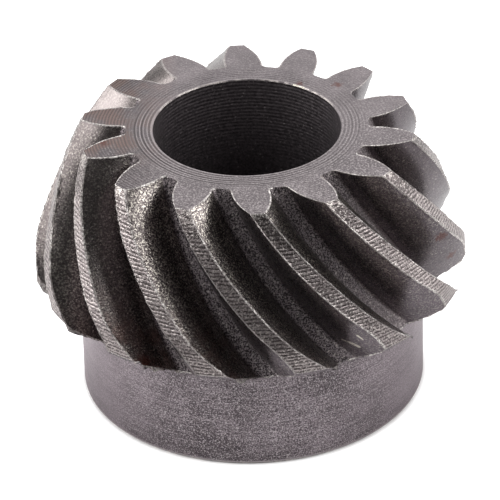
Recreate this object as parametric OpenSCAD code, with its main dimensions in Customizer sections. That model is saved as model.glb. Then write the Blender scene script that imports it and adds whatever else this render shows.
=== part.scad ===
// Spiral bevel pinion, made in one piece with its hub.
// A blank is turned round the Z axis, and each tooth gap is swept along a circular arc
// that is laid flat on the root cone, as a face-mill cutter leaves it.
// Millimetres. The hub stands on Z = 0 and the small end of the teeth, the toe, is on top.

/* [Blank] */
// Bore diameter
bore_d = 10; // [8:0.1:11.5]
// Diameter of the hub below the teeth
hub_d = 18.65; // [17:0.05:19.6]
// Overall height, from the hub's foot to the toe face
height = 15.3; // [14.4:0.1:17]
// Diameter over the straight band at the heel of the teeth
outer_d = 23.2; // [22:0.1:24.4]
// Height of the teeth's lower edge above the foot
heel_z = 6.95; // [6:0.05:7.6]
// Diameter over the tooth tips at the toe
toe_tip_d = 17.7; // [17:0.1:18.4]
// Height of the straight band above the teeth's lower edge
band_height = 1.7; // [1.2:0.05:2.2]
// Bulge of the tooth tips, two thirds of the way from the band to the toe
tip_crown = 0.18; // [0:0.02:0.3]
// Slope of the heel face below the horizontal
back_angle = 32; // [26:1:40]

/* [Teeth] */
// Number of teeth
teeth = 14; // [12:1:15]
// Diameter across the tooth roots at the toe
toe_root_d = 12.9; // [12.4:0.1:13.4]
// Half angle of the cone through the tooth roots
root_angle = 17.3; // [16:0.1:18.5]
// Angle of the gap to the root cone's line, half way along
spiral_angle = 30.5; // [20:0.5:36]
// Radius of the arc that the gap follows
cutter_r = 24.5; // [20:0.5:40]
// Width of the gap at its root, square to its run
root_gap = 0.84; // [0.6:0.02:1.1]
// Lean of the flank where it leaves the root
flank_lean = 6; // [2:0.5:10]
// Width of a tooth's land on the tip cone, square to its run
tip_land = 0.78; // [0.5:0.02:1]
// Fillet between root and flank
root_fillet = 0.2; // [0.08:0.02:0.3]

/* [Edges] */
// Chamfer at both ends of the bore
bore_edge = 0.15; // [0.05:0.05:0.6]
// Chamfer round the hub's foot
foot_edge = 0.1; // [0.05:0.05:0.6]
// Chamfer at the teeth's lower corner
heel_edge = 0.15; // [0.05:0.05:0.4]
// Fillet where the heel face runs into the hub
neck_fillet = 0.6; // [0.2:0.05:1]

/* [Hidden] */
$fn = 120;
steel = "#5b5558";

// Steps of the swept gap along its run, up its flank and round its fillet
run_steps = 10;
flank_steps = 6;
fillet_steps = 3;
// How far the swept gap goes past the blank, and its flanks past the tooth tips
overrun = 0.6;
flank_over = 0.1;

bore_r = bore_d / 2;
hub_r = hub_d / 2;
outer_r = outer_d / 2;
toe_tip_r = toe_tip_d / 2;
toe_root_r = toe_root_d / 2;

// Where the tip cone meets the straight band, its half angle, and where the heel face meets the hub
band_z = heel_z + band_height;
face_angle = atan((outer_r - toe_tip_r) / (height - band_z));
neck_z = heel_z - (outer_r - hub_r) * tan(back_angle);
// Length of the fillet's tangents in that corner
neck_run = neck_fillet * tan((90 - back_angle) / 2);

// The root cone: its apex distance at the toe, and the height and place of its way out at the heel
toe_distance = toe_root_r / sin(root_angle);
exit_rise = tan(root_angle) + 1 / tan(back_angle);
exit_z = (toe_root_r - outer_r + height * tan(root_angle) + heel_z / tan(back_angle)) / exit_rise;
hub_run = (hub_r - toe_root_r) / sin(root_angle);
exit_run = max((height - exit_z) / cos(root_angle), hub_run);

// Distance from the cone's apex to the middle of the cutter's arc, on the flattened cone
mid_distance = toe_distance + exit_run / 2;
arc_offset = sqrt(mid_distance ^ 2 + cutter_r ^ 2 - 2 * mid_distance * cutter_r * sin(spiral_angle));

// A place in the gap is given by its run s down the root cone from the toe
// and its height h above that cone, square to it.
function root_r(s) = toe_root_r + s * sin(root_angle);
function root_z(s) = height - s * cos(root_angle);
function cone_distance(s) = toe_distance + s;
function wall_r(s, h) = root_r(s) + h * cos(root_angle);

// Height of the tooth tips above the root cone: a straight cone and its crown,
// which is 0 at the band (t = 0) and the toe (t = 1), and tip_crown at t = 2/3
function crown(t) = tip_crown * 27 / 4 * max(t ^ 2 * (1 - t), 0);
function cone_height(s) =
    (toe_tip_r - root_r(s) + (height - root_z(s)) * tan(face_angle))
    / (cos(root_angle) + sin(root_angle) * tan(face_angle));
function tip_height(s) =
    let (tip_z = root_z(s) + cone_height(s) * sin(root_angle))
    cone_height(s) + crown((tip_z - band_z) / (height - band_z));

// Turn of the arc about the axis, from the toe on
function arc_angle(a) = acos((a ^ 2 + arc_offset ^ 2 - cutter_r ^ 2) / (2 * a * arc_offset));
function gap_turn(s) = (arc_angle(toe_distance) - arc_angle(cone_distance(s))) / sin(root_angle);

// Angle between the arc and the cone's line, at the root and higher up
function root_spiral(s) =
    let (a = cone_distance(s))
    asin((a ^ 2 + cutter_r ^ 2 - arc_offset ^ 2) / (2 * a * cutter_r));
function spiral(s, r) = atan(tan(root_spiral(s)) * r / root_r(s));

// How far a flank swells, beyond its lean, to leave the land on the tip cone
function tip_half_width(s) =
    let (r = wall_r(s, tip_height(s)))
    PI * r / teeth * cos(spiral(s, r)) - tip_land / 2;
function swell(s) = tip_half_width(s) - root_gap / 2 - tip_height(s) * tan(flank_lean);

// Half width of the gap, square to its run: root, leaning and swelling flank, less the fillet
function fillet_inset(h) =
    let (rest = max(root_fillet - h, 0))
    root_fillet - sqrt(root_fillet ^ 2 - rest ^ 2);
function half_width(s, h) =
    root_gap / 2 + h * tan(flank_lean) + swell(s) * (h / tip_height(s)) ^ 2 - fillet_inset(h);

// Heights of one flank's points, from the root to just past the tips, and of the roof
function flank_top(s) = tip_height(s) + flank_over;
function wall_heights(s) = [
    for (i = [0 : fillet_steps]) root_fillet * (1 - cos(90 * i / fillet_steps)),
    for (i = [1 : flank_steps]) root_fillet + (flank_top(s) - root_fillet) * i / flank_steps,
    flank_top(s) + overrun
];

// Half of the gap's width as a turn about the axis, kept above the flank's top
function half_turn(s, h) =
    let (
        flank_h = min(h, flank_top(s)),
        r = wall_r(s, flank_h)
    )
    half_width(s, flank_h) / cos(spiral(s, r)) / r * 180 / PI;

// One point of the gap's wall, on the side -1 or 1
function wall_point(s, h, side) =
    let (
        r = wall_r(s, h),
        turn = gap_turn(s) + side * half_turn(s, h)
    )
    [r * cos(turn), r * sin(turn), root_z(s) + h * sin(root_angle)];

// One tooth gap: a ladder of wall points at each step of its run
module tooth_gap() {
    rungs = fillet_steps + flank_steps + 2;
    runs = [for (i = [0 : run_steps]) -overrun + (exit_run + 2 * overrun) * i / run_steps];
    walls = [for (s = runs) for (h = wall_heights(s)) for (side = [-1, 1]) wall_point(s, h, side)];
    function at(run, rung, side) = 2 * (run * rungs + rung) + side;
    function quad(a, b, c, d) = [[a, b, c], [a, c, d]];
    flanks = [
        for (i = [0 : run_steps - 1]) for (j = [0 : rungs - 2]) each [
            each quad(at(i, j, 0), at(i, j + 1, 0), at(i + 1, j + 1, 0), at(i + 1, j, 0)),
            each quad(at(i, j, 1), at(i + 1, j, 1), at(i + 1, j + 1, 1), at(i, j + 1, 1))
        ]
    ];
    floors = [
        for (i = [0 : run_steps - 1])
            each quad(at(i, 0, 0), at(i + 1, 0, 0), at(i + 1, 0, 1), at(i, 0, 1))
    ];
    roofs = [
        for (i = [0 : run_steps - 1])
            each quad(at(i, rungs - 1, 0), at(i, rungs - 1, 1), at(i + 1, rungs - 1, 1), at(i + 1, rungs - 1, 0))
    ];
    ends = [
        for (j = [0 : rungs - 2]) each [
            each quad(at(0, j, 0), at(0, j, 1), at(0, j + 1, 1), at(0, j + 1, 0)),
            each quad(at(run_steps, j, 0), at(run_steps, j + 1, 0), at(run_steps, j + 1, 1), at(run_steps, j, 1))
        ]
    ];
    polyhedron(walls, concat(flanks, floors, roofs, ends));
}

// Arc of the fillet in the neck, from the hub up to the heel face
function neck_arc(steps = 4) = [
    for (i = [0 : steps])
        let (a = (90 - back_angle) * i / steps)
        [hub_r + neck_fillet * (1 - cos(a)), neck_z - neck_run + neck_fillet * sin(a)]
];

// Line of the tooth tips, from the band up to the toe
function tip_line(steps = 6) = [
    for (i = [0 : steps])
        let (t = i / steps)
        [outer_r, band_z] * (1 - t) + [toe_tip_r, height] * t
        + crown(t) * [cos(face_angle), sin(face_angle)]
];

// The turned blank with its bore
module blank() {
    heel_in = heel_edge * [1, tan(back_angle)];
    rotate_extrude()
        polygon(concat(
            [
                [bore_r, bore_edge],
                [bore_r + bore_edge, 0],
                [hub_r - foot_edge, 0],
                [hub_r, foot_edge]
            ],
            neck_arc(),
            [
                [outer_r, heel_z] - heel_in,
                [outer_r, heel_z + heel_edge]
            ],
            tip_line(),
            [
                [bore_r + bore_edge, height],
                [bore_r, height - bore_edge]
            ]
        ));
}

module pinion() {
    color(steel)
        difference() {
            blank();
            for (i = [0 : teeth - 1])
                rotate(360 / teeth * i)
                    tooth_gap();
        }
}

pinion();
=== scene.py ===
"""Looks of the spiral bevel pinion: a fine mesh from the part's own sizes, its steel, light and camera."""
import math

import bpy
import numpy as np
from mathutils import Matrix, Quaternion, Vector


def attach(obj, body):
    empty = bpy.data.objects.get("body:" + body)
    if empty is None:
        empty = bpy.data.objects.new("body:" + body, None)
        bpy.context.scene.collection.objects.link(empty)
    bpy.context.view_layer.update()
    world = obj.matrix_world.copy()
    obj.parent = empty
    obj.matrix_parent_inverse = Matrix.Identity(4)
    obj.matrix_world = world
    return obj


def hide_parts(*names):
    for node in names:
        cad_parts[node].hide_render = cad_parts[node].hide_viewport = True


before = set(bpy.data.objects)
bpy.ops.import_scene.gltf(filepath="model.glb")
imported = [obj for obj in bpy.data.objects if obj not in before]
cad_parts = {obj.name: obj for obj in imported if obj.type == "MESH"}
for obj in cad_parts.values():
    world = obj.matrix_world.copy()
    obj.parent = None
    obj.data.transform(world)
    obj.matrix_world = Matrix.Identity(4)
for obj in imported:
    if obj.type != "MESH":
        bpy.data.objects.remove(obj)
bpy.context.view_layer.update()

MM = 0.001
rng = np.random.default_rng(14)

# Blank, in millimetres and radians, named as in the part's source
bore_r = 5.0
hub_r = 9.325
height = 15.3
outer_r = 11.6
heel_z = 6.95
toe_tip_r = 8.85
band_height = 1.7
tip_crown = 0.18
back_angle = math.radians(32)
bore_edge = 0.15
foot_edge = 0.1
heel_edge = 0.15
neck_fillet = 0.6

# Teeth
teeth = 14
toe_root_r = 6.45
root_angle = math.radians(17.3)
spiral_angle = math.radians(30.5)
cutter_r = 24.5
root_gap = 0.84
flank_lean = math.radians(6)
tip_land = 0.78
root_fillet = 0.2

# Derived from them
pitch = 2 * math.pi / teeth
band_z = heel_z + band_height
face_angle = math.atan((outer_r - toe_tip_r) / (height - band_z))
neck_z = heel_z - (outer_r - hub_r) * math.tan(back_angle)
neck_run = neck_fillet * math.tan((math.pi / 2 - back_angle) / 2)
toe_distance = toe_root_r / math.sin(root_angle)
exit_rise = math.tan(root_angle) + 1 / math.tan(back_angle)
exit_z = (toe_root_r - outer_r + height * math.tan(root_angle) + heel_z / math.tan(back_angle)) / exit_rise
exit_run = (height - exit_z) / math.cos(root_angle)
mid_distance = toe_distance + exit_run / 2
arc_offset = math.sqrt(
    mid_distance ** 2 + cutter_r ** 2 - 2 * mid_distance * cutter_r * math.sin(spiral_angle)
)

# Mesh steps: lanes up a flank, stations along its run, columns across a land and a root
fillet_lanes = 4
flank_lanes = 14
cone_stations = 80
band_stations = 16
land_columns = 9
floor_columns = 4

# Rings of points in the neck, down the hub, across the foot, up the bore and over the toe face
neck_rings = 5
hub_rings = 21
foot_rings = 11
bore_rings = 45
toe_rings = 54

# Rings over which the teeth's uneven spacing of points passes into an even one
ease_rings = 6

# Width of the narrow strip along an edge, and the rough sizes of a tooth that make a share of it
edge_width = 0.06
rough_depth = 2.4
rough_land = 1.1
rough_tooth = 1.6

# Shares of the cone's and of the band's run that the strip at the tooth's end takes
toe_strip = 0.006
heel_strip = 0.03

# Faces that meet at more than this angle have a sharp edge
sharp_angle = math.radians(32)

# Feed of the turning tool on the toe face, in the bore and on the tooth tips
toe_feed = 0.175
bore_feed = 0.21
land_feed = 0.19

# The bore's upper edge is only broken
rim_edge = 0.05

# Ring grooves round the bore: where they start, their depth, and their pitch there and at the tooth roots
groove_r = bore_r + 0.1
groove_depth = 0.014
first_pitch = 0.205
last_pitch = 0.165

# Burrs: height and lean along a land's edges, height on the toe face, depth at the gaps' way out
burr_height = 0.04
burr_lean = 0.025
toe_burr = 0.4 * burr_height
exit_burr = 0.09

# Lips below the teeth's lower corners: length, and shares of the flank that stay free and that they grow over
lip_length = 0.32
lip_start = 0.45
lip_rise = 0.5

# A gap's left edge is taken back this far at the toe, and less and less over this run
left_edge_roll = 0.15
roll_run = 5.0

# Its right edge is taken back this far on the band, passing into that within this height of the band's top
right_edge_roll = 0.2
corner_reach = 0.8

# Height over which the tip cone passes into the band
band_blend = 0.3

# Rust spots on the flanks and the toe face: place and radius
flank_rust = [
    ((10.1, -3.1, 10.0), 0.46),
    ((10.77, -1.75, 7.88), 0.36),
    ((-5.7, -9.5, 6.9), 0.4),
]
toe_rust = [
    ((2.9, 4.4, 15.3), 0.26),
    ((5.0, 4.15, 15.3), 0.32),
    ((-7.6, -1.3, 15.3), 0.34),
]

# Bright slivers left on a flank near the heel: two ends and half width
flank_chips = [
    ((4.59, -8.81, 7.41), (5.0, -9.0, 7.33), 0.08),
    ((5.0, -9.0, 7.33), (5.41, -9.08, 7.12), 0.16),
    ((5.34, -9.61, 8.1), (5.6, -9.58, 7.82), 0.1),
]

# Bright nick in the bore's upper edge, its brightness a painted highlight: two ends and half width
rim_nick_glint = ((2.62, 4.29, 15.29), (3.15, 3.92, 15.29), 0.08)

# Darker and lighter shade of a gap's left and right flanks
left_shades = [(0.145, 0.125, 0.122), (0.195, 0.168, 0.164)]
right_shades = [(0.145, 0.121, 0.136), (0.195, 0.163, 0.184)]

# Material slots of the mesh
TOE, LAND, LEFT, RIGHT, ROOT, HUB, FOOT, BORE, BURR, EDGE = range(10)


# The part's surfaces, as formulas of the run s down the root cone and the height h above it

def root_r(s):
    return toe_root_r + s * math.sin(root_angle)


def root_z(s):
    return height - s * math.cos(root_angle)


def wall_r(s, h):
    return root_r(s) + h * math.cos(root_angle)


def wall_z(s, h):
    return root_z(s) + h * math.sin(root_angle)


def crown(t):
    """Bulge of the tip cone: none at the band and the toe, and tip_crown two thirds of the way up."""
    return tip_crown * 27 / 4 * np.maximum(t ** 2 * (1 - t), 0)


def tip_height(s):
    """Height of the crowned tip cone above the root cone."""
    slope = math.tan(face_angle)
    cone = (toe_tip_r - root_r(s) + (height - root_z(s)) * slope)
    cone = cone / (math.cos(root_angle) + math.sin(root_angle) * slope)
    return cone + crown((wall_z(s, cone) - band_z) / (height - band_z))


def top_height(s):
    """Height of the land: the tip cone, passing smoothly into the straight band."""
    tip = tip_height(s)
    band = (outer_r - root_r(s)) / math.cos(root_angle)
    near = np.maximum(band_blend - np.abs(tip - band), 0)
    return np.minimum(tip, band) - near ** 2 / (4 * band_blend)


def arc_angle(a):
    return np.arccos((a ** 2 + arc_offset ** 2 - cutter_r ** 2) / (2 * a * arc_offset))


def gap_turn(s):
    """Turn of the gap's middle line about the axis, from the toe on."""
    return (arc_angle(toe_distance) - arc_angle(toe_distance + s)) / math.sin(root_angle)


def spiral(s, r):
    """Angle between the gap's run and the cone's line, at the radius r."""
    a = toe_distance + s
    at_root = np.arcsin((a ** 2 + cutter_r ** 2 - arc_offset ** 2) / (2 * a * cutter_r))
    return np.arctan(np.tan(at_root) * r / root_r(s))


def half_turn(s, h):
    """Half of the gap's width as a turn about the axis."""
    tip = tip_height(s)
    r_tip = wall_r(s, tip)
    tip_half = math.pi * r_tip / teeth * np.cos(spiral(s, r_tip)) - tip_land / 2
    swell = tip_half - root_gap / 2 - tip * math.tan(flank_lean)
    rest = np.maximum(root_fillet - h, 0)
    inset = root_fillet - np.sqrt(root_fillet ** 2 - rest ** 2)
    width = root_gap / 2 + h * math.tan(flank_lean) + swell * (h / tip) ** 2 - inset
    r = wall_r(s, h)
    return width / np.cos(spiral(s, r)) / r


def left_roll(s, h):
    """Turn by which a gap's left edge, the right one of a land, is taken back towards the toe."""
    roll = left_edge_roll * np.maximum(1 - s / roll_run, 0)
    r = wall_r(s, h)
    return roll * (h / top_height(s)) ** 3 / np.cos(spiral(s, r)) / r


def right_roll(s, h):
    """Turn by which a gap's right edge, the left one of a land, is taken back on the band."""
    roll = right_edge_roll * np.clip((band_z + corner_reach - wall_z(s, h)) / (2 * corner_reach), 0, 1)
    r = wall_r(s, h)
    return roll * (h / top_height(s)) ** 4 / np.cos(spiral(s, r)) / r


def heel_surface(r):
    """Height of the blank's underside: fillet in the neck, heel face, chamfer at the rim."""
    face = heel_z - (outer_r - r) * math.tan(back_angle)
    tangent_r = hub_r + neck_run * math.cos(back_angle)
    reach = np.clip((hub_r + neck_fillet - r) / neck_fillet, -1, 1)
    fillet = neck_z - neck_run + neck_fillet * np.sqrt(1 - reach ** 2)
    rim = np.clip((r - outer_r + heel_edge) / heel_edge, 0, 1)
    chamfer = rim * heel_edge
    return np.where(r < tangent_r, fillet, face + chamfer)


def groove(r):
    """Depth of the ring grooves, whose pitch falls and which fade out towards the tooth roots."""
    reach = toe_root_r - groove_r
    out = np.clip((r - groove_r) / reach, 0, 1)
    turns = reach / (last_pitch - first_pitch) * np.log(1 + (last_pitch / first_pitch - 1) * out)
    return groove_depth * (1 - out ** 2) * (0.5 - 0.5 * np.cos(2 * math.pi * turns))


def solve(gap, low, high):
    """Where a falling function of s passes zero, by halving."""
    low = np.array(low, float)
    high = np.array(high, float)
    halvings = 60
    for _ in range(halvings):
        mid = (low + high) / 2
        above = gap(mid) > 0
        low = np.where(above, mid, low)
        high = np.where(above, high, mid)
    return (low + high) / 2


# The mesh

class Skin:
    """Collects blocks of points, and faces between points that blocks share."""

    def __init__(self):
        self.points = []
        self.count = 0
        self.faces = []
        self.zones = []

    def add(self, r, turn, z):
        """Adds a block of points and returns their numbers in the same shape."""
        block = np.stack(np.broadcast_arrays(r * np.cos(turn), r * np.sin(turn), z), axis=-1)
        self.points.append(block.reshape(-1, 3))
        ids = self.count + np.arange(block[..., 0].size).reshape(block.shape[:-1])
        self.count += ids.size
        return ids

    def quads(self, grid, zone):
        """Quads of a grid of point numbers; zone is one slot or an array with one slot a quad."""
        corners = [grid[:-1, :-1], grid[1:, :-1], grid[1:, 1:], grid[:-1, 1:]]
        self.faces.append(np.stack(corners, axis=-1).reshape(-1, 4))
        shape = (grid.shape[0] - 1, grid.shape[1] - 1)
        self.zones.append(np.broadcast_to(zone, shape).reshape(-1))


def lane_shares():
    """Share of the fillet's height and of the flank's height at each lane."""
    fillet = 1 - np.cos(np.linspace(0, math.pi / 2, fillet_lanes + 1))
    flank = np.linspace(0, 1 - edge_width / rough_depth, flank_lanes)[1:]
    flank = np.append(flank, 1)
    in_fillet = np.append(fillet, np.ones(flank.size))
    in_flank = np.append(np.zeros(fillet.size), flank)
    return in_fillet[:, None], in_flank[:, None]


def station_shares(steps, narrow):
    """Shares of a run, whose first step is narrow."""
    return np.append(0, np.linspace(narrow, 1, steps))


def lane_grid():
    """Run s and height h of every lane and station of one flank."""
    in_fillet, in_flank = lane_shares()

    def lane_height(s):
        return root_fillet * in_fillet * (1 - in_flank) + top_height(s) * in_flank

    ones = np.ones_like(in_fillet)
    past_end = 2
    first = solve(lambda s: wall_z(s, lane_height(s)) - height, 0 * ones, past_end * ones)
    corner = solve(lambda s: wall_z(s, top_height(s)) - band_z, 0.0, exit_run)
    last = solve(
        lambda s: wall_z(s, lane_height(s)) - heel_surface(wall_r(s, lane_height(s))),
        corner * ones, (exit_run + past_end) * ones,
    )
    cone = first + (corner - first) * station_shares(cone_stations, toe_strip)
    band = corner + (last - corner) * (1 - station_shares(band_stations, heel_strip)[::-1])
    s = np.hstack([cone, band[:, 1:]])
    return s, lane_height(s)


def across(low, high, columns, edge):
    """Angles between two edges, with a narrow column beside each of them when edge is set."""
    shares = np.linspace(0, 1, columns + 1)
    if edge:
        middle = np.linspace(edge, 1 - edge, columns - 1)[1:-1]
        shares = np.concatenate([[0, edge], middle, [1 - edge, 1]])
    return low[..., None] + (high - low)[..., None] * shares


def inner_profile():
    """Radius, height and slot of the rings from the neck down the hub, up the bore and out to the roots."""
    first_bend = math.acos((hub_r + neck_fillet - wall_r(exit_run, 0)) / neck_fillet)
    bend = np.linspace(first_bend, 0, neck_rings + 1)[1:]
    bend_r = hub_r + neck_fillet * (1 - np.cos(bend))
    bend_z = neck_z - neck_run + neck_fillet * np.sin(bend)
    hub = np.linspace(bend_z[-1], foot_edge, hub_rings + 1)[1:]
    foot = np.linspace(hub_r - foot_edge, bore_r + bore_edge, foot_rings + 1)[1:]
    bore = np.linspace(bore_edge, height - rim_edge, bore_rings + 1)[1:]
    faced = np.linspace(bore_r + rim_edge, toe_root_r, toe_rings + 2)[1:-1]
    rings = [(r, z, HUB) for r, z in zip(bend_r, bend_z)]
    rings += [(hub_r, z, HUB) for z in hub]
    rings += [(hub_r - foot_edge, 0, BURR)]
    rings += [(r, 0, FOOT) for r in foot]
    rings += [(bore_r, bore_edge, BORE)]
    rings += [(bore_r, z, BORE) for z in bore]
    rings += [(bore_r + rim_edge, height, TOE)]
    rings += [(r, height - groove(r), TOE) for r in faced]
    return rings


def ring_turns(start, end, steps):
    """Angles of the rings' points: the heel's at the start, the toe's at the end, evenly spaced between."""
    columns = start.size
    even = 2 * math.pi * np.arange(columns) / columns
    turns = []
    for m in range(1, steps + 1):
        share = m / (steps + 1)
        base = start[0] * (1 - share) + end[0] * share + even
        near_start = max(0, 1 - m / ease_rings)
        near_end = max(0, 1 - (steps + 1 - m) / ease_rings)
        turns.append(base + near_start * (start - start[0] - even) + near_end * (end - end[0] - even))
    return np.array(turns)


def quad_slots(lanes, stations):
    """Slots of the quads on a gap's left flank, right flank and floor, on a land and on a tooth's toe end."""
    left = np.full((lanes - 1, stations - 1), LEFT)
    left[:fillet_lanes] = ROOT
    left[-1] = BURR
    left[:, [0, -1]] = BURR
    right = np.where(left == LEFT, RIGHT, left)
    right[-1] = EDGE
    floor = np.full((floor_columns, stations - 1), ROOT)
    floor[:, -1] = BURR
    land = np.full((stations - 1, land_columns), LAND)
    land[:, 0] = EDGE
    land[:, -1] = BURR
    land[[0, -1]] = BURR
    toe = np.full((lanes - 1, land_columns), TOE)
    toe[:, [0, -1]] = BURR
    return left, right, floor, land, toe


def pinion_skin():
    """The whole surface: flanks and roots of every gap, lands, tooth ends, and the rings inside."""
    skin = Skin()
    s, h = lane_grid()
    r = wall_r(s, h)
    z = wall_z(s, h)
    turn = gap_turn(s)
    gap = pitch * np.arange(teeth)[:, None, None]

    left_turn = gap + turn - half_turn(s, h) - left_roll(s, h)
    right_turn = gap + turn + half_turn(s, h) + right_roll(s, h)
    left = skin.add(r, left_turn, z)
    right = skin.add(r, right_turn, z)
    next_left_turn = pitch + left_turn
    next_left = np.roll(left, -1, axis=0)

    floor_turn = across(left_turn[:, 0], right_turn[:, 0], floor_columns, 0)
    floor = skin.add(r[0][:, None], floor_turn[..., 1:-1], z[0][:, None])
    land_edge = edge_width / rough_land
    land_turn = across(right_turn[:, -1], next_left_turn[:, -1], land_columns, land_edge)
    land = skin.add(r[-1][:, None], land_turn[..., 1:-1], z[-1][:, None])
    end_edge = edge_width / rough_tooth
    toe_turn = across(right_turn[:, :-1, 0], next_left_turn[:, :-1, 0], land_columns, end_edge)
    toe = skin.add(r[:-1, 0][:, None], toe_turn[..., 1:-1], z[:-1, 0][:, None])
    heel_turn = across(right_turn[:, :-1, -1], next_left_turn[:, :-1, -1], land_columns, end_edge)
    heel = skin.add(r[:-1, -1][:, None], heel_turn[..., 1:-1], z[:-1, -1][:, None])

    left_zone, right_zone, floor_zone, land_zone, toe_zone = quad_slots(*s.shape)
    for k in range(teeth):
        skin.quads(left[k], left_zone)
        skin.quads(right[k][::-1], right_zone[::-1])
        skin.quads(np.column_stack([left[k][0], floor[k], right[k][0]]).T[::-1], floor_zone)
        land_grid = np.column_stack([right[k][-1], land[k], next_left[k][-1]])
        skin.quads(land_grid, land_zone)
        toe_rows = np.column_stack([right[k][:-1, 0], toe[k], next_left[k][:-1, 0]])
        skin.quads(np.vstack([toe_rows, land_grid[0]]), toe_zone)
        heel_rows = np.column_stack([right[k][:-1, -1], heel[k], next_left[k][:-1, -1]])
        skin.quads(np.vstack([heel_rows, land_grid[-1]])[::-1], HUB)

    heel_ids = np.hstack([left[:, 0, -1:], floor[:, -1], right[:, 0, -1:], heel[:, 0]]).reshape(-1)
    heel_turns = np.hstack([floor_turn[:, -1], heel_turn[:, 0, 1:-1]]).reshape(-1)
    toe_ids = np.hstack([left[:, 0, :1], floor[:, 0], right[:, 0, :1], toe[:, 0]]).reshape(-1)
    toe_turns = np.hstack([floor_turn[:, 0], toe_turn[:, 0, 1:-1]]).reshape(-1)
    profile = inner_profile()
    ring_r = np.array([p[0] for p in profile])[:, None]
    ring_z = np.array([p[1] for p in profile])[:, None]
    rings = skin.add(ring_r, ring_turns(heel_turns, toe_turns, len(profile)), ring_z)
    rows = np.vstack([heel_ids, rings, toe_ids])
    rows = np.column_stack([rows, rows[:, 0]])
    ring_zone = np.array([p[2] for p in profile] + [TOE])[:, None]
    skin.quads(rows[::-1], ring_zone[::-1])
    points = np.vstack(skin.points)
    add_burrs(points, left, right, floor)
    return skin, points


def uneven(count):
    """Seeded random run along an edge, smoothed a little, with some taller places."""
    raw = rng.normal(size=count + 4)
    smooth = np.convolve(raw, [0.15, 0.7, 0.15], "valid")[:count]
    places = 9
    slow = np.interp(np.arange(count), np.linspace(0, count, places), rng.uniform(0.3, 1.4, places))
    return smooth * slow


def outward(points, ids):
    """Unit vectors away from the axis at these points."""
    flat = points[ids] * (1, 1, 0)
    return flat / np.linalg.norm(flat, axis=-1, keepdims=True)


def burr_line(points, ids, side):
    """Raises a thin ragged burr along a land's edge and sways it to and from the gap on that side."""
    away = outward(points, ids)
    along = np.stack([-away[:, 1], away[:, 0], 0 * away[:, 0]], axis=-1)
    points[ids] += away * (burr_height * np.abs(uneven(ids.size)))[:, None]
    points[ids] += along * (burr_lean * side * uneven(ids.size))[:, None]


def ragged_ends(points, wall, floor):
    """Roughens the outline of a gap on the toe face and on the heel face."""
    points[wall[1:, 0], 2] += toe_burr * np.abs(uneven(wall.shape[0] - 1))
    points[wall[:, -1], 2] -= exit_burr * uneven(wall.shape[0])
    points[floor[-1], 2] -= exit_burr * uneven(floor.shape[1])


def exit_lip(points, wall):
    """Draws the outer part of a flank's lower end out into a thin hanging burr, where the cutter ran out."""
    end = wall[:, -1]
    run = points[end] - points[wall[:, -4]]
    run = run / np.linalg.norm(run, axis=1, keepdims=True)
    _, in_flank = lane_shares()
    share = np.clip((in_flank[:, 0] - lip_start) / lip_rise, 0, 1)
    length = lip_length * rng.uniform(0.5, 1.1) * share * (1 + 0.25 * uneven(share.size))
    points[end] += run * length[:, None]


def add_burrs(points, left, right, floor):
    """Moves the points at the edges of every gap."""
    for k in range(teeth):
        ragged_ends(points, right[k], floor[k])
        ragged_ends(points, left[k], floor[k])
        burr_line(points, right[k][-1], -1)
        burr_line(points, left[k][-1], 1)
        exit_lip(points, left[k])


def build_mesh(name):
    """The pinion as one smooth-shaded mesh in metres, with a material slot for each kind of surface."""
    skin, points = pinion_skin()
    mesh = bpy.data.meshes.new(name)
    mesh.from_pydata((points * MM).tolist(), [], np.vstack(skin.faces).tolist())
    mesh.polygons.foreach_set("material_index", np.concatenate(skin.zones).astype(np.int32))
    mesh.polygons.foreach_set("use_smooth", np.ones(len(mesh.polygons), bool))
    mesh.set_sharp_from_angle(angle=sharp_angle)
    mesh.validate()
    piece = bpy.data.objects.new(name, mesh)
    bpy.context.scene.collection.objects.link(piece)
    return piece


# Materials

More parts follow.
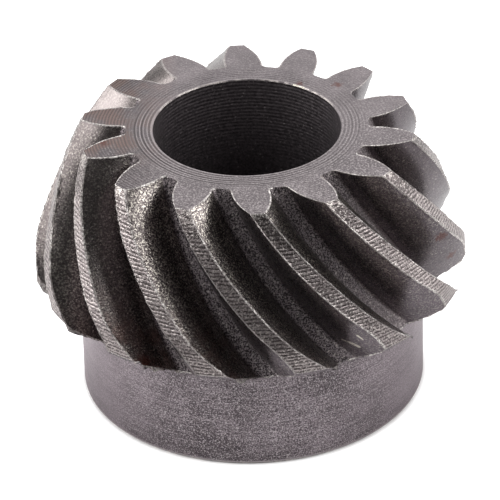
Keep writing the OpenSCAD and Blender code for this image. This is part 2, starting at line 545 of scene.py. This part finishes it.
class Graph:
    """A material's nodes, with short calls for the kinds used here. Lengths in them are millimetres."""

    def __init__(self, name):
        self.material = bpy.data.materials.new(name)
        self.material.use_nodes = True
        self.tree = self.material.node_tree
        self.shader = self.tree.nodes["Principled BSDF"]
        metres = self.node("ShaderNodeTexCoord", {}).outputs["Object"]
        self.place = self.scaled(metres, 1 / MM)
        self.x, self.y, self.z = self.node("ShaderNodeSeparateXYZ", {0: self.place}).outputs

    def put(self, value, socket):
        if isinstance(value, bpy.types.NodeSocket):
            self.tree.links.new(value, socket)
        else:
            socket.default_value = value

    def node(self, kind, inputs, **settings):
        made = self.tree.nodes.new(kind)
        for key, value in settings.items():
            setattr(made, key, value)
        for key, value in inputs.items():
            self.put(value, made.inputs[key])
        return made

    def math(self, operation, a, b=0.0):
        return self.node("ShaderNodeMath", {0: a, 1: b}, operation=operation).outputs[0]

    def times(self, a, b):
        return self.math("MULTIPLY", a, b)

    def larger(self, a, b):
        return self.math("MAXIMUM", a, b)

    def vector(self, operation, a, b):
        return self.node("ShaderNodeVectorMath", {0: a, 1: b}, operation=operation).outputs["Vector"]

    def measure(self, operation, a, b=(0, 0, 0)):
        return self.node("ShaderNodeVectorMath", {0: a, 1: b}, operation=operation).outputs["Value"]

    def scaled(self, a, scale):
        return self.node("ShaderNodeVectorMath", {0: a, "Scale": scale}, operation="SCALE").outputs["Vector"]

    def stretched(self, x, y, z):
        return self.vector("MULTIPLY", self.place, (x, y, z))

    def noise(self, scale, detail=2.0, rough=0.5, place=None):
        inputs = {"Vector": place or self.place, "Scale": scale, "Detail": detail, "Roughness": rough}
        return self.node("ShaderNodeTexNoise", inputs).outputs["Fac"]

    def wave(self, kind, period, distortion, detail=2.0, detail_scale=1.0):
        """Waves of that period along Z, or in rings round it. The node's own period is a tenth of pi."""
        settings = {"wave_type": kind, "wave_profile": "SIN"}
        settings["rings_direction" if kind == "RINGS" else "bands_direction"] = "Z"
        inputs = {
            "Vector": self.place,
            "Scale": math.pi / 10 / period,
            "Distortion": distortion,
            "Detail": detail,
            "Detail Scale": detail_scale,
        }
        return self.node("ShaderNodeTexWave", inputs, **settings).outputs["Fac"]

    def speckle(self, size):
        """Grains of about that size, each with a shade of its own."""
        inputs = {"Vector": self.place, "Scale": 1 / size}
        return self.node("ShaderNodeTexVoronoi", inputs).outputs["Color"]

    def ramp(self, value, low, high, out_low=0.0, out_high=1.0):
        inputs = {"Value": value, "From Min": low, "From Max": high, "To Min": out_low, "To Max": out_high}
        return self.node("ShaderNodeMapRange", inputs).outputs[0]

    def blend(self, share, a, b):
        made = self.node("ShaderNodeMix", {}, data_type="RGBA")
        self.put(share, made.inputs["Factor"])
        for value, socket in ((a, made.inputs[6]), (b, made.inputs[7])):
            self.put(value if isinstance(value, bpy.types.NodeSocket) else (*value, 1), socket)
        return made.outputs[2]

    def bump(self, height_value, depth, normal=None):
        inputs = {"Height": height_value, "Distance": depth * MM, "Strength": 1.0}
        if normal:
            inputs["Normal"] = normal
        return self.node("ShaderNodeBump", inputs).outputs[0]

    def rust(self, color, spot, size):
        """Lays a ragged red-brown spot over a colour."""
        red_brown = (0.11, 0.038, 0.030)
        away = self.measure("DISTANCE", self.place, spot)
        ragged = self.math("ADD", away, self.noise(5, 3, 0.7))
        return self.blend(self.ramp(ragged, size + 0.5, size + 0.3, 0.0, 0.75), color, red_brown)

    def chip(self, color, start, end, width):
        """Lays a bright sliver along a line over a colour."""
        bright = (0.85, 0.80, 0.70)
        reach = Vector(end) - Vector(start)
        offset = self.vector("SUBTRACT", self.place, start)
        share = self.ramp(self.measure("DOT_PRODUCT", offset, reach), 0.0, reach.length_squared)
        away = self.measure("DISTANCE", offset, self.scaled(reach, share))
        return self.blend(self.ramp(away, width, 0.6 * width, 0.0, 0.9), color, bright)

    def finish(self, color, rough, normal, metallic=1.0):
        self.put(color, self.shader.inputs["Base Color"])
        self.put(rough, self.shader.inputs["Roughness"])
        self.put(normal, self.shader.inputs["Normal"])
        self.shader.inputs["Metallic"].default_value = metallic
        return self.material


def ringed_color(g, color, radius):
    """Lays the ring grooves over the toe face's colour: painted shade in the floors and painted highlights
    on the ridges, clearest in front and on the left, and uneven from ring to ring."""
    painted_groove_shade = (0.060, 0.050, 0.051)
    painted_ridge_highlight = (0.48, 0.433, 0.443)
    pitch_share = g.ramp(radius, groove_r, toe_root_r, 1.0, last_pitch / first_pitch)
    turn_scale = 2 * math.pi * (toe_root_r - groove_r) / (last_pitch - first_pitch)
    ridge = g.math("COSINE", g.times(g.math("LOGARITHM", pitch_share, math.e), turn_scale))
    by_radius = g.node("ShaderNodeCombineXYZ", {"X": radius}).outputs["Vector"]
    inside = g.ramp(radius, toe_root_r - 0.5, toe_root_r + 0.1, 1.0, 0.0)
    share = g.times(g.ramp(g.y, 4.0, 1.0, 0.1, 1.0), inside)
    share = g.times(share, g.ramp(g.noise(4.0, 1, 0.5, by_radius), 0.40, 0.58, 0.35, 1.0))
    share = g.times(share, g.ramp(g.x, -2.0, 3.0, 1.0, 0.55))
    # Painted shade in the groove floors, then painted highlights on the ridges
    color = g.blend(g.times(share, g.ramp(ridge, 0.3, -0.5, 0.0, 0.9)), color, painted_groove_shade)
    return g.blend(g.times(share, g.ramp(ridge, 0.4, 0.9, 0.0, 0.55)), color, painted_ridge_highlight)


def painted_rim_glints(g, color, radius):
    """Lays painted glints over the bore's rim at the back, and the nick in it as a painted highlight."""
    rim_glint_bright = (0.70, 0.640, 0.610)
    # Painted glints on the rim at the back
    rim_glints = g.times(g.ramp(radius, bore_r + 0.1, bore_r + 0.06), g.ramp(g.y, 1.0, 3.0))
    rim_glints = g.times(rim_glints, g.ramp(g.noise(1.6, 2, 0.6), 0.42, 0.58, 0.0, 0.8))
    color = g.blend(rim_glints, color, rim_glint_bright)
    # The nick, its brightness a painted highlight
    return g.chip(color, *rim_nick_glint)


def toe_steel():
    """Faced end: a fine grain, clearest in front, feed marks and brown on the left,
    rings with painted shade and highlights, and painted glints on the rim.
    """
    base = [(0.152, 0.132, 0.138), (0.240, 0.210, 0.218)]
    dark_grain = (0.080, 0.068, 0.071)
    bright_grain = (0.43, 0.390, 0.390)
    brown = (0.190, 0.125, 0.108)
    dark_mark = (0.075, 0.062, 0.063)
    g = Graph("faced_toe")
    radius = g.measure("LENGTH", g.stretched(1, 1, 0))
    on_left = g.ramp(g.x, -3.5, -6.5)
    marks = g.times(g.wave("RINGS", toe_feed, 1.6, 2.0, 0.6), g.larger(on_left, 0.12))
    grain = g.noise(11, 1, 0.6)
    clear = g.ramp(g.y, 3.0, -4.0, 0.5, 1.0)
    blotch = g.noise(0.6, 3, 0.6)
    color = g.blend(g.ramp(blotch, 0.3, 0.7), *base)
    color = g.blend(g.times(clear, g.ramp(grain, 0.36, 0.50, 0.75, 0.0)), color, dark_grain)
    color = g.blend(g.times(clear, g.ramp(grain, 0.55, 0.66, 0.0, 0.8)), color, bright_grain)
    stain = g.times(on_left, g.ramp(blotch, 0.38, 0.55, 0.0, 0.8))
    stain = g.times(stain, g.ramp(g.y, -4.0, -2.0))
    color = g.blend(stain, color, brown)
    color = g.blend(g.ramp(marks, 0.35, 0.80, 0.0, 0.65), color, dark_mark)
    color = ringed_color(g, color, radius)
    color = painted_rim_glints(g, color, radius)
    for spot, size in toe_rust:
        color = g.rust(color, spot, size)
    normal = g.bump(marks, 0.035)
    normal = g.bump(grain, 0.016, normal)
    return g.finish(color, g.ramp(grain, 0.3, 0.7, 0.36, 0.48), normal)


def land_steel():
    """Turned tooth tips: torn, uneven tool lines in a rough grain, battered bright at the toe."""
    line_shades = [(0.110, 0.093, 0.092), (0.460, 0.399, 0.396)]
    dark_grain = (0.090, 0.075, 0.074)
    bright_grain = (0.78, 0.715, 0.68)
    battered = (0.85, 0.79, 0.74)
    g = Graph("turned_land")
    feed_lines = g.wave("BANDS", land_feed, 2.2, 2.0, 0.8)
    tears = g.noise(1.0, 2, 0.6, g.stretched(1.8, 1.8, 12))
    clear = g.ramp(g.z, height - 2.2, height - 0.9, 0.5, 0.1)
    lines = g.math("ADD", g.times(feed_lines, clear), tears)
    grain = g.noise(11, 1, 0.6)
    color = g.blend(g.ramp(lines, 0.50, 0.85), *line_shades)
    color = g.blend(g.ramp(grain, 0.36, 0.50, 0.65, 0.0), color, dark_grain)
    color = g.blend(g.ramp(grain, 0.56, 0.68, 0.0, 0.85), color, bright_grain)
    ends = g.times(g.ramp(g.z, height - 0.7, height - 0.2), g.ramp(g.noise(2.5, 2, 0.6), 0.45, 0.6))
    color = g.blend(g.times(ends, g.ramp(grain, 0.35, 0.6)), color, battered)
    normal = g.bump(lines, 0.025)
    normal = g.bump(grain, 0.02, normal)
    return g.finish(color, g.ramp(grain, 0.3, 0.7, 0.30, 0.42), normal)


def flank_steel(name, shades, painted_glint, depth):
    """Blasted flanks, dark between two shades, with dents of that depth, and painted shade on the left and
    away from the front.
    The grain carries painted glints at the given strength, weaker behind, in that painted shade and low down.
    Painted light lies on them behind on the left, and they are brown low down in front on the left."""
    dark = (0.095, 0.081, 0.083)
    painted_light_tone = (0.42, 0.372, 0.362)
    dark_grain = (0.058, 0.049, 0.049)
    bright_grain = (0.58, 0.542, 0.475)
    dust_grain = (0.50, 0.46, 0.43)
    brown = (0.165, 0.100, 0.085)
    g = Graph(name)
    grain = g.noise(11, 1, 0.6)
    dents = g.noise(9, 2, 0.6)
    dust = g.speckle(0.075)
    blotch = g.noise(0.9, 3, 0.6)
    color = g.blend(g.ramp(blotch, 0.3, 0.7), *shades)
    # Painted shade: darker on the left and away from the front; lower down it also weakens the grain's glints
    painted_shade = g.times(g.ramp(g.x, -5.5, -7.0), g.ramp(g.x, -10.0, -8.5))
    painted_shade = g.larger(painted_shade, g.ramp(g.y, -6.0, -2.0))
    color = g.blend(g.times(painted_shade, 0.4), color, dark)
    # Painted light: paler behind on the left
    painted_light_back_left = g.times(g.ramp(g.y, 1.5, 4.0, 0.0, 0.42), g.ramp(g.x, -1.0, -4.0))
    color = g.blend(painted_light_back_left, color, painted_light_tone)
    painted_shade = g.larger(painted_shade, g.ramp(g.z, 11.5, 9.0, 0.0, 0.6))
    front = g.ramp(g.y, 3.0, -3.0, 0.35, 1.0)
    # Painted glints: the grain's bright and dark specks, strongest in front and weakest in the painted shade
    painted_glint_share = g.times(front, g.ramp(painted_shade, 0.0, 1.0, painted_glint, 0.35 * painted_glint))
    color = g.blend(g.times(painted_glint_share, g.ramp(grain, 0.38, 0.50, 0.85, 0.0)), color, dark_grain)
    color = g.blend(g.times(painted_glint_share, g.ramp(grain, 0.54, 0.63)), color, bright_grain)
    color = g.blend(g.times(front, g.ramp(dust, 0.86, 0.90, 0.0, 0.7)), color, dust_grain)
    low = g.times(g.ramp(g.z, 10.5, 7.5), g.ramp(g.x, 1.0, -2.0))
    low = g.times(low, g.ramp(g.y, -5.0, -8.0))
    color = g.blend(g.times(low, g.ramp(blotch, 0.4, 0.6, 0.0, 0.7)), color, brown)
    for spot, size in flank_rust:
        color = g.rust(color, spot, size)
    for start, end, width in flank_chips:
        color = g.chip(color, start, end, width)
    normal = g.bump(g.times(dents, front), depth)
    return g.finish(color, g.ramp(dents, 0.3, 0.7, 0.24, 0.34), normal, 0.95)


def root_steel():
    """Tooth roots: duller than the flanks, with a strong grain and dust, and painted light on the right."""
    grain_shades = [(0.055, 0.046, 0.049), (0.360, 0.312, 0.324)]
    painted_light_tone = (0.400, 0.347, 0.360)
    dust_grain = (0.60, 0.545, 0.525)
    g = Graph("rough_root")
    grain = g.noise(13, 1, 0.6)
    dust = g.speckle(0.07)
    color = g.blend(g.ramp(grain, 0.45, 0.57), *grain_shades)
    # Painted light: paler on the right
    color = g.blend(g.ramp(g.x, 4.0, 7.0, 0.0, 0.4), color, painted_light_tone)
    color = g.blend(g.ramp(dust, 0.80, 0.86, 0.0, 0.9), color, dust_grain)
    normal = g.bump(grain, 0.03)
    return g.finish(color, g.ramp(grain, 0.3, 0.7, 0.48, 0.60), normal, 0.85)


def hub_steel():
    """Turned hub: fine level lines and a grain over soft smudges, clearest in front and behind, with painted
    light at the sides, and a bright edge at the foot."""
    base = [(0.155, 0.131, 0.142), (0.292, 0.248, 0.270)]
    painted_side_light = (0.37, 0.315, 0.343)
    dark_line = (0.070, 0.058, 0.063)
    bright_line = (0.52, 0.460, 0.480)
    dark_grain = (0.065, 0.054, 0.058)
    bright_grain = (0.60, 0.545, 0.560)
    bright_edge = (0.55, 0.50, 0.51)
    g = Graph("turned_hub")
    aside = g.math("ABSOLUTE", g.y)
    clear = g.ramp(aside, 5.0, 9.0, 0.35, 1.0)
    lines = g.noise(1.0, 2, 0.7, g.stretched(0.5, 0.5, 15))
    grain = g.noise(1.0, 1, 0.6, g.stretched(13, 13, 17))
    smudge = g.noise(0.28, 3, 0.55)
    color = g.blend(g.ramp(smudge, 0.40, 0.60), *base)
    # Painted light: paler at the sides
    color = g.blend(g.ramp(aside, 8.5, 5.5, 0.0, 0.6), color, painted_side_light)
    color = g.blend(g.times(clear, g.ramp(lines, 0.36, 0.50, 0.5, 0.0)), color, dark_line)
    color = g.blend(g.times(clear, g.ramp(lines, 0.53, 0.66, 0.0, 0.45)), color, bright_line)
    color = g.blend(g.times(clear, g.ramp(grain, 0.38, 0.48, 0.85, 0.0)), color, dark_grain)
    color = g.blend(g.times(clear, g.ramp(grain, 0.56, 0.66)), color, bright_grain)
    color = g.blend(g.ramp(g.z, 0.22, 0.15, 0.0, 0.7), color, bright_edge)
    normal = g.bump(lines, 0.02)
    normal = g.bump(grain, 0.012, normal)
    return g.finish(color, g.ramp(grain, 0.3, 0.7, 0.40, 0.52), normal)


def foot_steel():
    """Faced foot: fine concentric marks."""
    base = [(0.19, 0.163, 0.174), (0.29, 0.252, 0.264)]
    g = Graph("faced_foot")
    rings = g.wave("RINGS", toe_feed, 0.5)
    grain = g.noise(8.5, 2, 0.6)
    color = g.blend(g.ramp(grain, 0.3, 0.7), *base)
    normal = g.bump(rings, 0.02)
    return g.finish(color, g.ramp(grain, 0.3, 0.7, 0.4, 0.55), normal)


def bore_steel():
    """Bored hole: ring grooves at the tool's feed, clearest at the top, with a little dust."""
    base = [(0.118, 0.103, 0.109), (0.220, 0.192, 0.202)]
    dust_grain = (0.42, 0.38, 0.38)
    g = Graph("bored_hole")
    grooves = g.times(g.wave("BANDS", bore_feed, 1.2, 2.0, 0.4), g.ramp(g.z, 9.0, 13.5, 0.1, 1.0))
    dust = g.speckle(0.08)
    grain = g.noise(7, 2, 0.6)
    color = g.blend(g.ramp(grain, 0.35, 0.7), *base)
    color = g.blend(g.ramp(dust, 0.87, 0.92, 0.0, 0.8), color, dust_grain)
    normal = g.bump(grooves, 0.013)
    normal = g.bump(grain, 0.014, normal)
    return g.finish(color, g.ramp(grain, 0.3, 0.7, 0.42, 0.58), normal, 0.85)


def burr_steel(name, least):
    """Sharp edges with bright beads of burr here and there, their brightness partly a painted highlight.
    Painted shade fades the beads behind and on the left, to the share least; they also fade below the toe and
    just above the heel."""
    plain = (0.28, 0.244, 0.240)
    bright = (0.95, 0.90, 0.86)
    g = Graph(name)
    beads = g.noise(9, 2, 0.6)
    runs = g.noise(0.8, 2, 0.6)
    share = g.times(g.ramp(beads, 0.43, 0.55), g.ramp(runs, 0.38, 0.54, 0.3, 1.0))
    # Painted shade: the beads fade behind
    share = g.times(share, g.ramp(g.y, 4.0, 0.0, 0.35, 1.0))
    below_toe = g.ramp(g.z, height - 2.5, height - 0.6, 1.0, 0.6)
    share = g.times(share, g.larger(below_toe, g.ramp(g.z, height - 0.12, height - 0.04)))
    above_heel = g.ramp(g.z, heel_z, heel_z + 0.6, 0.3, 1.0)
    share = g.times(share, g.larger(above_heel, g.ramp(g.z, heel_z - 0.03, heel_z - 0.12)))
    # Painted shade: on the left the beads keep only the share least
    share = g.times(share, g.ramp(g.x, 0.0, 5.0, least, 1.0))
    color = g.blend(share, plain, bright)
    return g.finish(color, g.ramp(beads, 0.3, 0.7, 0.38, 0.28), g.bump(beads, 0.06), 0.6)


# Object

pinion = build_mesh("pinion_steel")
steels = [
    toe_steel(),
    land_steel(),
    # The left flanks carry full painted glints, the right ones half as strong
    flank_steel("left_flank", left_shades, painted_glint=1.0, depth=0.016),
    flank_steel("right_flank", right_shades, painted_glint=0.5, depth=0.012),
    root_steel(),
    hub_steel(),
    foot_steel(),
    bore_steel(),
    burr_steel("burred_edge", least=1.0),
    # A copy whose beads fade on the left as painted shade
    burr_steel("painted_shade_edge", least=0.4),
]
for steel in steels:
    pinion.data.materials.append(steel)
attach(pinion, "root")
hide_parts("pinion")


# Floor, light and camera

def white_floor():
    """White paper that keeps the shadow. It glows, to show white to the camera, but not under the part, with
    a thin painted contact shadow round its foot. In reflections it glows as painted light, most close behind
    the part, and less in front, on the right and far out, with painted shade right beside the part."""
    paper_white = (0.9, 0.9, 0.9, 1)
    g = Graph("white_floor")
    g.tree.nodes.remove(g.shader)
    radius = g.measure("LENGTH", g.place)
    path = g.node("ShaderNodeLightPath", {})
    # Camera glow, with a thin painted contact shadow round the foot
    seen = g.times(path.outputs["Is Camera Ray"], g.ramp(radius, hub_r - 0.1, hub_r + 0.3, 0.0, 0.8))
    # Painted light and shade seen in reflections alone: brightest close behind the part, dark right beside it
    behind = g.ramp(g.y, -3.0, 5.0, 0.33, 0.9)
    behind = g.times(behind, g.ramp(g.x, -5.0, 10.0, 1.05, 0.8))
    beside = g.ramp(radius, hub_r, hub_r + 4)
    close = g.math("MINIMUM", beside, g.ramp(radius, hub_r + 5, hub_r + 15, 1.0, 0.45))
    painted_reflection_glow = g.times(path.outputs["Is Glossy Ray"], g.times(behind, close))
    paper = g.node("ShaderNodeBsdfDiffuse", {"Color": paper_white})
    glow = g.node("ShaderNodeEmission", {"Strength": g.larger(seen, painted_reflection_glow)})
    both = g.node("ShaderNodeAddShader", {0: paper.outputs[0], 1: glow.outputs[0]})
    g.put(both.outputs[0], g.tree.nodes["Material Output"].inputs["Surface"])
    return g.material


def flat_sheet(name, half, back, level):
    """A level rectangle, from -half to half across and from -half to back."""
    corners = [(-half, -half, level), (half, -half, level), (half, back, level), (-half, back, level)]
    mesh = bpy.data.meshes.new(name)
    mesh.from_pydata(corners, [], [(0, 1, 2, 3)])
    sheet = bpy.data.objects.new(name, mesh)
    bpy.context.scene.collection.objects.link(sheet)
    return sheet


def floor_sheet(size):
    half = size / 2
    sheet = flat_sheet("floor", half, half, 0)
    sheet.data.materials.append(white_floor())


def painted_dark_reflection(near, far):
    """Grey card on the floor in front, seen in reflections alone: a painted dark reflection, like the dark
    side of a studio.
    """
    level = 0.2 * MM
    card = flat_sheet("painted_dark_reflection", far, -near, level)
    grey = bpy.data.materials.new("painted_dark_reflection_grey")
    grey.use_nodes = True
    shader = grey.node_tree.nodes["Principled BSDF"]
    shader.inputs["Base Color"].default_value = (0.19, 0.19, 0.19, 1)
    shader.inputs["Roughness"].default_value = 0.9
    card.data.materials.append(grey)
    # Painted dark reflection: the card shows only in reflections
    card.visible_camera = False
    card.visible_diffuse = False
    card.visible_shadow = False


def softbox(name, azimuth, elevation, tilt, width, tall, radiance):
    """A white area lamp aimed at the part, as bright as radiance says whatever its size.
    Azimuth 0 is behind the part and 90 to its right, in degrees; tilt turns the lamp in its own plane."""
    distance = 0.4
    around = math.radians(azimuth)
    up = math.radians(elevation)
    away = Vector((math.sin(around) * math.cos(up), math.cos(around) * math.cos(up), math.sin(up)))
    lamp = bpy.data.lights.new(name, "AREA")
    lamp.shape = "RECTANGLE"
    lamp.size = width
    lamp.size_y = tall
    lamp.energy = radiance * math.pi * width * tall
    holder = bpy.data.objects.new(name, lamp)
    holder.location = Vector((0, 0, height / 2 * MM)) + distance * away
    turned = away.to_track_quat("Z", "Y") @ Quaternion((0, 0, 1), math.radians(tilt))
    holder.rotation_euler = turned.to_euler()
    bpy.context.scene.collection.objects.link(holder)


def grey_room(low, high):
    """A room that shines with the strength low near the horizon and high overhead."""
    world = bpy.data.worlds.new("room")
    world.use_nodes = True
    tree = world.node_tree
    place = tree.nodes.new("ShaderNodeTexCoord")
    split = tree.nodes.new("ShaderNodeSeparateXYZ")
    fade = tree.nodes.new("ShaderNodeMapRange")
    fade.inputs["From Min"].default_value = 0.25
    fade.inputs["From Max"].default_value = 0.6
    fade.inputs["To Min"].default_value = low
    fade.inputs["To Max"].default_value = high
    tree.links.new(place.outputs["Generated"], split.inputs[0])
    tree.links.new(split.outputs["Z"], fade.inputs["Value"])
    tree.nodes["Background"].inputs["Color"].default_value = (1, 1, 1, 1)
    tree.links.new(fade.outputs[0], tree.nodes["Background"].inputs["Strength"])
    bpy.context.scene.world = world


def photo_camera():
    """The photograph's view: from the front, 32 degrees down, rolled a little, with a long lens."""
    distance = 0.2
    down = 0.563091
    roll = -0.029335
    aim = Vector((-0.0000256, 0, 0.00755))
    around = Matrix.Rotation(math.radians(-0.41), 3, "Z")
    target = around @ aim
    back = around @ Vector((0, -math.cos(down), math.sin(down)))
    side = around @ Vector((1, 0, 0))
    basis = Matrix((side, back.cross(side), back)).transposed() @ Matrix.Rotation(roll, 3, "Z")
    camera = bpy.data.objects.new("camera", bpy.data.cameras.new("camera"))
    camera.matrix_world = Matrix.Translation(target + distance * back) @ basis.to_4x4()
    camera.data.sensor_fit = "HORIZONTAL"
    camera.data.sensor_width = 36
    camera.data.lens = 266.124
    camera.data.clip_start = 0.01
    bpy.context.scene.collection.objects.link(camera)
    bpy.context.scene.camera = camera


floor_sheet(size=1.2)
painted_dark_reflection(near=0.022, far=0.6)
grey_room(low=0.14, high=0.09)
softbox("back_box", azimuth=0, elevation=34, tilt=0, width=0.80, tall=0.40, radiance=1.5)
softbox("left_box", azimuth=-98, elevation=30, tilt=30, width=0.54, tall=0.20, radiance=3.9)
softbox("right_box", azimuth=97, elevation=30, tilt=-25, width=0.56, tall=0.16, radiance=3.75)
photo_camera()
bpy.context.scene.view_settings.view_transform = "Standard"
